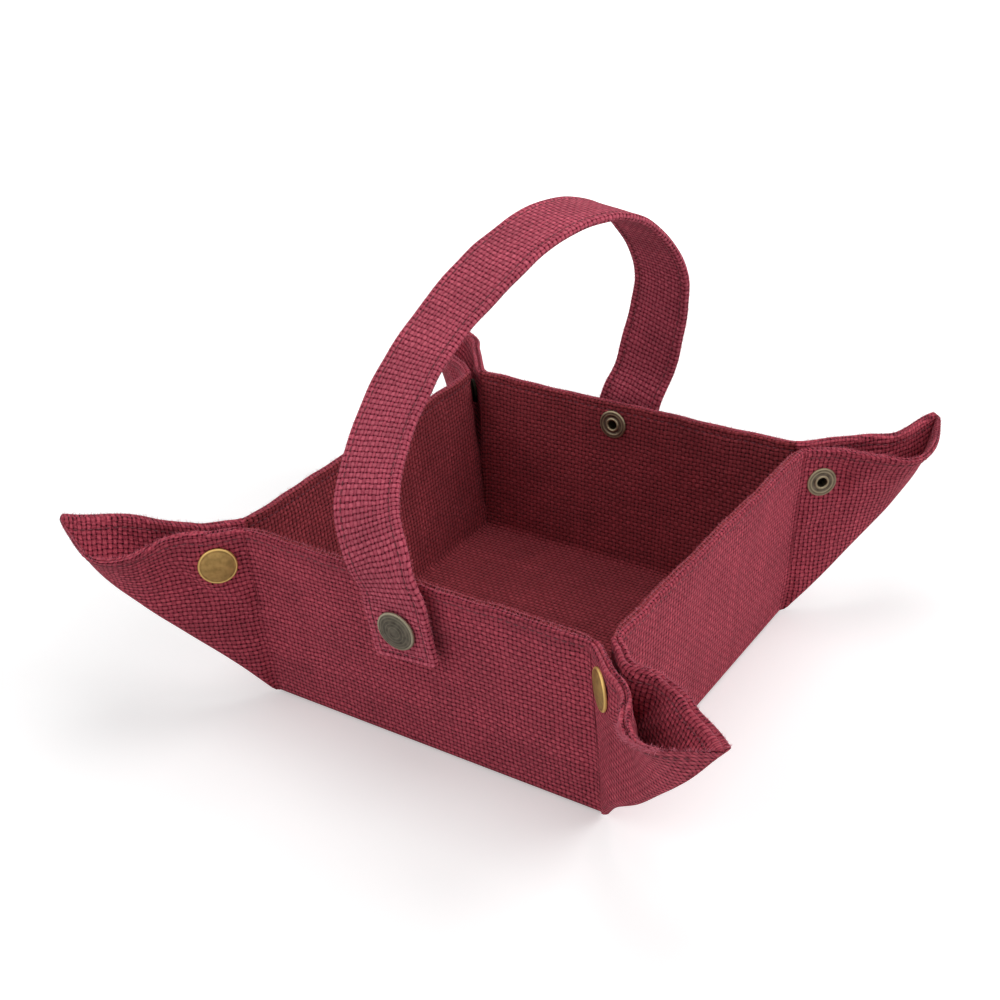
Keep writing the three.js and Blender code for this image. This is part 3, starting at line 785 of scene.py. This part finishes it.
for corner_name, corner in corners.items():
    at, outwards, across = corner_ways(corner)
    for side, wall in zip((-1, 1), corner["walls"]):
        points = folded_sheet(corner, side, ear_rows, ear_rows * slopes, ear_depths[:, None])
        outer_up = travelled(points[:faces])
        inner_up = travelled(points[::-1][:faces])[::-1]
        over_rim = outer_up[-1] + np.linspace(0.4, 4.8, len(rim_in))[:, None]
        inner_up = inner_up + over_rim[-1] - inner_up[0]
        true_up = np.concatenate([outer_up, over_rim, inner_up]) / np.sqrt(1 + slopes**2)
        true_out = travelled(points, axis=1)
        x, y = (true_out, true_up) if side < 0 else (true_up, true_out)
        flat = flat_cloth(half_base + x, -half_base - y, corner["turn"])
        piece = cloth_piece(f"{corner_name}_ear_{wall}_jute", points, flat, outer_hessian)
        place = corner_snap(corner) + side * (midway + ear_cloth / 2) * across
        pierce(piece, place, across, post_hole if side == corner["cap"] else ring_hole)
        for row, face_side in ((sewn_row, side), (len(points) - 1 - sewn_row, -side)):
            outward = row_normals(points, row, face_side * across)
            topstitch(piece, points[row][2:-3], outward[2:-3])
        upward = np.tile(upwards, (len(slopes) - 6, 1))
        for row in (faces + 2, faces + len(rim_in) - 3):
            fuzz(piece, points[row][3:-3], upward, 0.4)
        if corner_name == "front_right" and side < 0:
            fuzz(piece, points[faces + 1][38:54], upward[:16] + 0.9 * side * across, 0.04, 2.4)
        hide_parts(f"{corner_name}_ear_{wall}_half")
        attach(piece, f"{corner_name}_ear_{wall}")
        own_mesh(piece)

# Handle strap: a doubled band of the same hessian, sewn down both sides and across both ends. It is snapped
# flat to the outside of the front and back walls and stands in an arch over the tray.
strap_width = 27.7
strap_thickness = 3.0
tab_below = 14.5
tab_step = 9.0
snap_standoff = 3.4
arch_rise = 98.5
# How far back each knot of the arch is, how high and how far aside, as shares, and the strap's turn there
arch_knots = [
    (-1.06, 0.066, -0.067, 0.0),
    (-0.94, 0.264, -0.183, -6.4),
    (-0.493, 0.612, -0.226, -8.2),
    (0.07, 0.934, -0.086, -2.0),
    (0.44, 1.0, 0.005, 4.5),
    (0.78, 0.909, 0.071, 9.1),
    (1.08, 0.599, 0.107, 10.5),
    (1.122, 0.152, 0.015, 4.0),
]
strap_depth = -(snap_standoff + strap_thickness / 2)


def tab_points(snap):
    found = []
    for step in range(4):
        s = step * tab_step - tab_below
        along = snap["side"] + s * math.sin(snap["tilt"])
        up = wall_height - snap["down"] + s * math.cos(snap["tilt"])
        found.append(wall_point(snap["turn"], along, up, strap_depth))
    return found


rim_half = half_base + wall_height * math.sin(lean)
rim_z = wall_height * math.cos(lean)
front_tab, back_tab = tab_points(handle_snaps["front"]), tab_points(handle_snaps["back"])
arch = [
    np.array([sway * arch_rise, reached * rim_half, rim_z + rise * arch_rise])
    for reached, rise, sway, turn in arch_knots
]
route = [*front_tab, *arch, *back_tab[::-1]]
route_turns = [0.0] * len(front_tab) + [math.radians(knot[3]) for knot in arch_knots] + [0.0] * len(back_tab)


# The smooth line through the route's points, the same centripetal spline as the solid's
def on_route(t):
    place = t * (len(route) - 1)
    i = min(int(place), len(route) - 2)
    w = place - i
    p1, p2 = route[i], route[i + 1]
    p0 = route[i - 1] if i > 0 else 2 * route[0] - route[1]
    p3 = route[i + 2] if i + 2 < len(route) else 2 * route[-1] - route[-2]
    d0, d1, d2 = (max(float(np.linalg.norm(b - a)) ** 0.5, 1e-4) for a, b in ((p0, p1), (p1, p2), (p2, p3)))
    m1 = ((p1 - p0) / d0 - (p2 - p0) / (d0 + d1) + (p2 - p1) / d1) * d1
    m2 = ((p2 - p1) / d1 - (p3 - p1) / (d1 + d2) + (p3 - p2) / d2) * d1
    first = (2 * w**3 - 3 * w**2 + 1) * p1 + (w**3 - 2 * w**2 + w) * m1
    return first + (3 * w**2 - 2 * w**3) * p2 + (w**3 - w**2) * m2


even_shares = np.linspace(0, 1, 1501)
lengths = travelled(np.array([on_route(t) for t in even_shares]))
strap_length = float(lengths[-1])
end_rows = np.array([0.0, 0.12, 0.4, 0.9, 1.5, 2.2, 2.8, 3.1, 3.4, 3.7, 4.0, 4.5, 5.4, 7.0])
stations = np.r_[end_rows, np.linspace(8.5, strap_length - 8.5, 210), (strap_length - end_rows)[::-1]]
shares = np.interp(stations, lengths, even_shares)
centres = np.array([on_route(t) for t in shares])
tangents = unit(np.array([on_route(min(t + 5e-4, 1)) - on_route(max(t - 5e-4, 0)) for t in shares]))
turns = np.interp(shares * (len(route) - 1), np.arange(len(route)), route_turns)
sideways = unit(np.array([1.0, 0.0, 0.0]) - tangents * tangents[:, :1])
sideways = sideways * column(np.cos(turns)) + np.cross(tangents, sideways) * column(np.sin(turns))
outer_side = np.cross(sideways, tangents)
strap_edge = strap_width / 2
end_corner = 3.0
edge_steps = np.array([0.0, 0.3, 0.7, 1.2, 1.8, 2.4, 2.8, 3.1, 3.4, 3.7, 4.0, 4.5, 5.2, 6.2])
edge_steps = np.r_[edge_steps, np.linspace(7.4, strap_edge, 7)]
face_across = np.r_[-strap_edge + edge_steps, (strap_edge - edge_steps)[::-1][1:]]
in_from_edge = strap_edge - np.abs(face_across)


def strap_half_thickness(inset, from_end):
    nearest = np.minimum(inset, from_end)
    body = 1.38 + 0.17 * smooth(5.2, 2.6, nearest)
    return np.maximum(body * rounding(nearest, 1.5) - groove(nearest, 0.5), 0.02)


from_end = np.minimum(stations, strap_length - stations)
half_thick = strap_half_thickness(in_from_edge[:, None], from_end)
edge_wander = 0.22 * np.sin(stations / 7.9) + 0.14 * np.sin(stations / 3.3 + 1.0)
waved = uneven(face_across[:, None] + 40.0, stations) * 0.7 * (half_thick > 0.5)
lateral = face_across[:, None] + edge_wander * column(np.sign(face_across) * smooth(6.0, 0.0, in_from_edge))
lateral = lateral * (1 - end_corner * (1 - rounding(from_end, end_corner)) / strap_edge)
middle_line = centres + column(lateral) * sideways
front_face = middle_line + column(half_thick + waved) * outer_side
back_face = middle_line + column(waved - half_thick) * outer_side
points = np.concatenate([front_face, back_face[::-1]])
section = np.stack([face_across, strap_half_thickness(in_from_edge, strap_length)], axis=-1)
rolled = travelled(section)
rolled = np.r_[rolled, rolled[-1] + 0.04 + rolled[-1] - rolled[::-1]]
flat = np.stack(np.meshgrid(rolled + 2 * other_weave, stations, indexing="ij"), axis=-1)
# The strap is the same hessian painted lighter than the walls' cloth: painted light for the light on the
# strap
strap_hessian_painted_lighter = hessian("wine_jute_strap_painted_lighter", "#A73A4F", "#D8687A", "#480A1C", spacing=(1.7, 1.95))
strap = cloth_piece("handle_strap_jute", points, flat, strap_hessian_painted_lighter)
for snap in handle_snaps.values():
    pierce(strap, snap_place(snap, strap_depth), wall_axis(snap["turn"]), post_hole)
both_faces = ((front_face, outer_side), (back_face, -outer_side))
for row in np.flatnonzero(np.abs(in_from_edge - stitch_line) < 1e-6):
    for face, outward in both_faces:
        topstitch(strap, face[row][8:-8], outward[8:-8])
for station in np.flatnonzero(np.abs(from_end - stitch_line) < 1e-6):
    for face, outward in both_faces:
        topstitch(strap, face[8:-8, station], np.tile(outward[station], (len(face) - 16, 1)))
for row, flip in ((0, -1), (len(face_across) - 1, 1)):
    fuzz(strap, middle_line[row][6:-6], flip * sideways[6:-6], 0.5)
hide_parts("handle_strap")
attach(strap, "handle")

# Snaps: pressed brass, plated and aged. A domed cap is riveted through one cloth into a socket, and a
# rolled eyelet through the other into the stud that clicks into it.


# Turned and pressed metal, darker in its hollows and rubbed bright on its edges
def aged_metal(name, bright, aged, dark, rough):
    material, tree = new_material(name)
    spot = add_node(tree, "TexCoord").outputs["Object"]
    cloudy = add_node(tree, "TexNoise", {"Vector": spot, "Scale": 420.0, "Detail": 4.0})
    specks = add_node(tree, "TexNoise", {"Vector": spot, "Scale": 2600.0, "Detail": 2.0})
    blotches = add_node(tree, "MapRange", {"Value": cloudy, "From Min": 0.32, "From Max": 0.68})
    inputs = {0: blotches, 6: linear(dark), 7: linear(aged)}
    mottled = add_node(tree, "Mix", inputs, data_type="RGBA")
    rubbed = add_node(tree, "Attribute", attribute_name="rubbed")
    inputs = {0: rubbed.outputs["Fac"], 6: mottled.outputs[2], 7: linear(bright)}
    shone = add_node(tree, "Mix", inputs, data_type="RGBA")
    dull = add_node(tree, "MapRange", {"Value": cloudy, "To Min": rough - 0.10, "To Max": rough + 0.12})
    bump = add_node(tree, "Bump", {"Strength": 0.25, "Distance": 0.00012, "Height": specks})
    inputs = {"Base Color": shone.outputs[2], "Metallic": 1.0, "Roughness": dull, "Normal": bump}
    surface = add_node(tree, "BsdfPrincipled", inputs)
    add_node(tree, "OutputMaterial", {"Surface": surface})
    return material


aged_brass = aged_metal("aged_pressed_brass", "#E6C27A", "#AE8B56", "#84683F", 0.50)
antique_bronze = aged_metal("antique_bronze_plate", "#A39A84", "#6E685C", "#4A463E", 0.50)
antique_brass = aged_metal("antique_brass_plate", "#A3957A", "#74685A", "#4E453A", 0.47)
# The sockets and studs show only down the snaps' bores; their brass is painted dark, a painted shade for the
# deep bores
brass_painted_with_bore_shade = aged_metal("brass_painted_with_bore_shade", "#4A4236", "#332C23", "#231E18", 0.62)


# A pressed round piece: each ring of its profile is drawn out and up from the one before. A ring is its
# radius, its height along the snap's axis, 0 midway between the two cloths, and how high any beads stand on
# it. Where the profile turns outwards it is rubbed.
def pressed_round(name, profile, place, axis, material, beads=0):
    bpy.ops.mesh.primitive_circle_add(vertices=beads * 4 or 96, radius=1.0)
    piece = bpy.context.object
    piece.name = name
    edit_all()
    for _ in profile[1:]:
        bpy.ops.mesh.extrude_edges_move(TRANSFORM_OT_translate={"value": (0.0, 0.0, 1.0)})
    bpy.ops.object.mode_set(mode="OBJECT")
    mesh = piece.data
    co = vertex_places(mesh)
    ring = np.rint(co[:, 2]).astype(int)
    angle = np.arctan2(co[:, 1], co[:, 0])
    profile = np.array([(*step, 0.0)[:3] for step in profile])
    radius, height, bead = profile[ring].T
    x = unit(np.cross(axis, [0.3, 0.2, 1.0]))
    y = np.cross(axis, x)
    placed = place + column(radius * np.cos(angle)) * x + column(radius * np.sin(angle)) * y
    placed = placed + column(height + bead * np.cos(angle * beads)) * axis
    mesh.vertices.foreach_set("co", (placed / 1000).ravel())
    heading = np.unwrap(np.arctan2(*np.diff(profile[:, :2], axis=0).T[::-1]))
    turned = np.r_[0.0, np.diff(heading), 0.0]
    rubbed = mesh.attributes.new("rubbed", "FLOAT", "POINT")
    rubbed.data.foreach_set("value", np.clip(turned / 0.7, 0.0, 1.0)[ring])
    mesh.update()
    weld(2e-6, 40)
    mesh.materials.append(material)
    return piece


handle_cap_radius = 7.9
ring_radius = 6.2
bore = 2.0
seat_gap = 0.3


# The corner caps: a dull flat dish with a thin rolled rim
def cap_profile(cloth):
    seat = midway + cloth + seat_gap
    edge = ear_cap_radius
    rolled_rim = (
        (1.2, 0), (0.35, 0.05), (0.05, 0.3), (0, 0.7), (0.10, 1.0), (0.35, 1.2), (0.6, 1.24), (0.8, 1.14),
        (0.95, 1.12), (1.6, 1.40), (2.6, 1.70), (3.9, 1.98), (5.5, 2.18),
    )
    found = [(edge - inwards, seat + rise) for inwards, rise in rolled_rim]
    return [(0.0, 1.0), (bore, 1.0), (bore, seat), *found, (0.15, seat + 2.25), (0.0, seat + 2.25)]


# The handle's caps carry a finely beaded edge and plain low rings
def ringed_cap_profile(cloth):
    seat = midway + cloth + seat_gap
    edge = handle_cap_radius
    beaded_rim = (
        (1.2, 0), (0.35, 0.05), (0.03, 0.3), (0, 0.75), (0.15, 1.05, 0.06), (0.45, 1.24, 0.13),
        (0.75, 1.26, 0.13), (1.0, 1.20, 0.05), (1.15, 1.16),
    )
    found = [(edge - inwards, seat + rise, *bead) for inwards, rise, *bead in beaded_rim]
    for ring_at in (1.7, 2.85, 4.15, 5.55):
        dome = 1.22 + 0.66 * (1 - ((edge - ring_at) / (edge - 1.2)) ** 2)
        for inwards, rise in ((-0.24, -0.015), (-0.09, 0.012), (0.09, 0.015), (0.24, -0.005)):
            found.append((edge - ring_at - inwards, seat + dome + rise))
    found += [(1.0, seat + 1.87), (0.15, seat + 1.89), (0.0, seat + 1.89)]
    return [(0.0, 1.0), (bore, 1.0), (bore, seat), *found]


def eyelet_profile(cloth):
    seat = -midway - cloth - seat_gap
    edge = ring_radius
    rolled_edge = (
        (bore, 0.45), (2.08, 0.8), (2.3, 0.98), (2.65, 1.02), (2.95, 0.88), (3.1, 0.6), (3.4, 0.5),
        (4.1, 0.52), (4.4, 0.70), (4.75, 0.74), (edge - 1.15, 0.60), (edge - 0.8, 0.66), (edge - 0.4, 0.66),
        (edge - 0.08, 0.45), (edge, 0.2), (edge, 0), (2.55, 0),
    )
    found = [(radius, seat - drop) for radius, drop in rolled_edge]
    return [(bore, -midway), *found, (2.55, -midway), (bore, -midway)]


def dress_snap(prefix, place, axis, cap_body, ring_body):
    handle = cap_body == "handle"
    profile = ringed_cap_profile(strap_thickness) if handle else cap_profile(ear_cloth)
    metal = antique_bronze if handle else aged_brass
    cap = pressed_round(f"{prefix}_cap_pressed", profile, place, axis, metal, beads=72 if handle else 0)
    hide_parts(f"{prefix}_cap")
    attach(cap, cap_body)
    profile = eyelet_profile(wall_thickness if handle else ear_cloth)
    ring = pressed_round(f"{prefix}_eyelet_rolled", profile, place, axis, antique_brass)
    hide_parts(f"{prefix}_eyelet")
    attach(ring, ring_body)


for corner_name, corner in corners.items():
    axis = corner["cap"] * corner_ways(corner)[2]
    cap_body, ring_body = (f"{corner_name}_ear_{wall}" for wall in corner["walls"][:: -corner["cap"]])
    dress_snap(f"{corner_name}_snap", corner_snap(corner), axis, cap_body, ring_body)
for wall, snap in handle_snaps.items():
    place, axis = snap_place(snap, -midway), wall_axis(snap["turn"])
    dress_snap(f"handle_{wall}_snap", place, axis, "handle", f"{wall}_wall")


# The hidden solids that stay as the CAD made them take a single material each, by the endings of their names
def coat(material, *endings):
    for node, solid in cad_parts.items():
        if node.endswith(endings):
            solid.data.materials.clear()
            solid.data.materials.append(material)


# Sockets and studs: brass painted dark as painted shade, since they are seen only down the bores
coat(brass_painted_with_bore_shade, "_socket", "_stud")

# Boards: pressed grey card in the base and walls, shut in between the cloths.
grey_card, tree = new_material("pressed_grey_card")
spot = add_node(tree, "TexCoord").outputs["Object"]
pulp = add_node(tree, "TexNoise", {"Vector": spot, "Scale": 900.0, "Detail": 4.0})
mixed = add_node(tree, "ValToRGB", {"Fac": pulp})
mixed.color_ramp.elements[0].color = linear("#7E786D")
mixed.color_ramp.elements[1].color = linear("#9A9488")
bump = add_node(tree, "Bump", {"Strength": 0.4, "Distance": 0.0001, "Height": pulp})
surface = add_node(tree, "BsdfPrincipled", {"Base Color": mixed, "Roughness": 0.9, "Normal": bump})
add_node(tree, "OutputMaterial", {"Surface": surface})
coat(grey_card, "_board")
